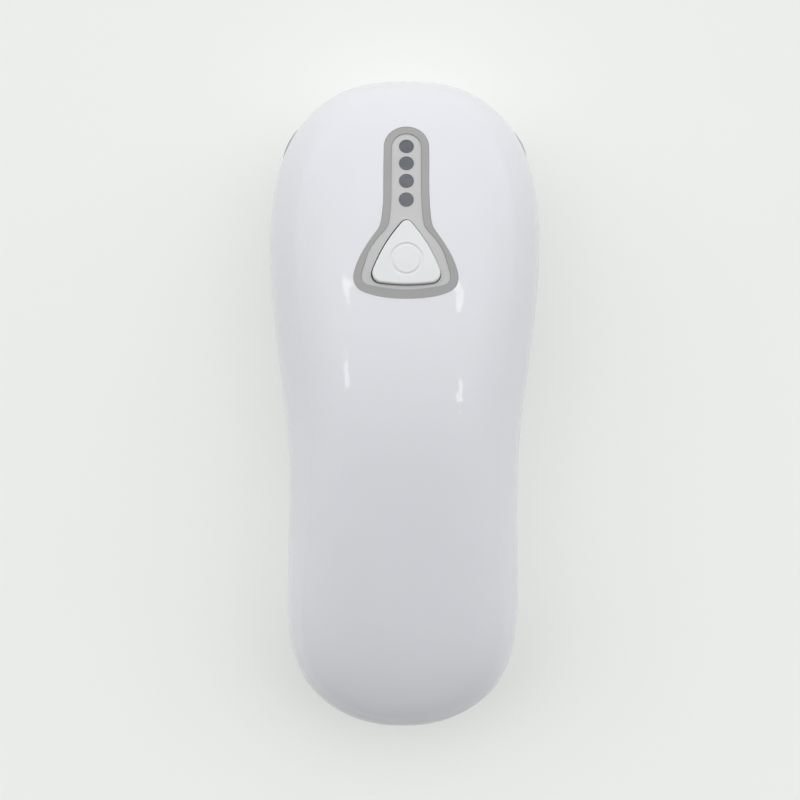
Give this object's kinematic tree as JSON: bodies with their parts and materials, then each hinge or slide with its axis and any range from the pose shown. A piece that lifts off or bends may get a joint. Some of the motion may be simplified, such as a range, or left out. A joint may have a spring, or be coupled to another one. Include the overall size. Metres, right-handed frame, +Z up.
{
  "type": "handheld bag heat sealer",
  "caption": "Pebble-shaped rechargeable bag sealer: hinged white cover with a heated bar under its nose, a silicone-padded lower jaw and a small top control panel.",
  "frame": {"origin": "on the floor under the middle of the object's box, feet at z = 0", "axes": "+X to the right seen from above, +Y from the nose to the rear, +Z up"},
  "size_m": [0.0544, 0.13, 0.0403],
  "materials": {
    "base_housing": "satin ABS, cool white",
    "rubber_feet": "matt rubber",
    "base_magnets": "nickel plated magnet",
    "rating_label": "blank foil label",
    "hinge_pin": "ground steel",
    "silicone_pad": "translucent red-brown silicone",
    "battery_cell": "heat-shrink sleeve, blue",
    "battery_terminals": "nickel plated",
    "battery_tabs": "nickel strip",
    "battery_clamp": "moulded ABS",
    "clamp_screws": "zinc plated",
    "battery_lead_red": "silicone insulated lead",
    "battery_lead_black": "silicone insulated lead",
    "charging_board": "green solder mask",
    "usb_socket": "nickel plated shell",
    "usb_tongue": "moulded tongue",
    "charging_chips": "moulded packages",
    "lead_connector": "natural nylon",
    "charging_board_screws": "zinc plated",
    "ribbon_socket_lower": "natural nylon",
    "ribbon_cable": "white flat cable",
    "seal_switch": "moulded switch body",
    "switch_leads": "PVC insulated leads",
    "return_spring_left": "music wire",
    "return_spring_right": "music wire",
    "top_cover": "smooth satin-gloss ABS, cool white",
    "panel_bezel": "fine satin, mid grey",
    "panel_inlay": "fine satin, light grey",
    "led_lens_1": "smoked light guide",
    "led_lens_2": "smoked light guide",
    "led_lens_3": "smoked light guide",
    "led_lens_4": "smoked light guide",
    "control_board": "green solder mask",
    "indicator_leds": "white lamp packages",
    "power_switch": "moulded switch body",
    "control_chips": "moulded packages",
    "control_board_screws": "zinc plated",
    "ribbon_socket_upper": "natural nylon",
    "heater_holder": "heat-resistant glass-filled nylon",
    "heater_screws": "zinc plated",
    "ceramic_bar": "sintered alumina",
    "heating_strip": "nickel-chrome ribbon",
    "heater_terminals": "brass clips",
    "ptfe_sheet": "PTFE-coated glass cloth, brown",
    "heater_leads": "glass-sleeved leads",
    "hinge_cap_left": "dark grey satin",
    "hinge_cap_right": "dark grey satin",
    "power_button": "satin white key",
    "power_switch_stem": "moulded nylon",
    "seal_switch_key": "red switch key",
    "port_cover": "soft elastomer, cool white"
  },
  "bodies": {
    "base": {"base_housing": "base_housing", "rubber_feet": "rubber_feet", "base_magnets": "base_magnets", "rating_label": "rating_label", "hinge_pin": "hinge_pin", "silicone_pad": "silicone_pad", "battery_cell": "battery_cell", "battery_terminals": "battery_terminals", "battery_tabs": "battery_tabs", "battery_clamp": "battery_clamp", "clamp_screws": "clamp_screws", "battery_lead_red": "battery_lead_red", "battery_lead_black": "battery_lead_black", "charging_board": "charging_board", "usb_socket": "usb_socket", "usb_tongue": "usb_tongue", "charging_chips": "charging_chips", "lead_connector": "lead_connector", "charging_board_screws": "charging_board_screws", "ribbon_socket_lower": "ribbon_socket_lower", "ribbon_cable": "ribbon_cable", "seal_switch": "seal_switch", "switch_leads": "switch_leads", "return_spring_left": "return_spring_left", "return_spring_right": "return_spring_right"},
    "cover": {"top_cover": "top_cover", "panel_bezel": "panel_bezel", "panel_inlay": "panel_inlay", "led_lens_1": "led_lens_1", "led_lens_2": "led_lens_2", "led_lens_3": "led_lens_3", "led_lens_4": "led_lens_4", "control_board": "control_board", "indicator_leds": "indicator_leds", "power_switch": "power_switch", "control_chips": "control_chips", "control_board_screws": "control_board_screws", "ribbon_socket_upper": "ribbon_socket_upper", "heater_holder": "heater_holder", "heater_screws": "heater_screws", "ceramic_bar": "ceramic_bar", "heating_strip": "heating_strip", "heater_terminals": "heater_terminals", "ptfe_sheet": "ptfe_sheet", "heater_leads": "heater_leads", "hinge_cap_left": "hinge_cap_left", "hinge_cap_right": "hinge_cap_right"},
    "power_key": {"power_button": "power_button", "power_switch_stem": "power_switch_stem"},
    "jaw_switch_key": {"seal_switch_key": "seal_switch_key"},
    "port_flap": {"port_cover": "port_cover"}
  },
  "joints": [
    {"name": "cover_hinge", "type": "hinge", "parent": "base", "child": "cover", "pos_m": [0, 0.0525, 0.015], "axis": [1, 0, 0], "range_deg": [0, 3.2], "stiffness_Nm_per_rad": 7, "springref_deg": -2.01, "deforming": ["return_spring_left", "return_spring_right", "ribbon_cable"]},
    {"name": "power_key_slide", "type": "slide", "parent": "cover", "child": "power_key", "axis": [0, -0.1426, -0.9898], "range_m": [0, 0.0004], "stiffness_N_per_m": 800, "springref_m": -0.001},
    {"name": "jaw_switch_slide", "type": "slide", "parent": "base", "child": "jaw_switch_key", "axis": [0, 0, -1], "range_m": [0, 0.00125]},
    {"name": "port_flap_hinge", "type": "hinge", "parent": "base", "child": "port_flap", "pos_m": [-0.0069, 0.06376, 0.00605], "axis": [0, 0, 1], "range_deg": [0, 90]}
  ],
  "couplings": [
    {"joint": "jaw_switch_slide", "follows": "cover_hinge", "m_per_rad": 0.021489}
  ]
}
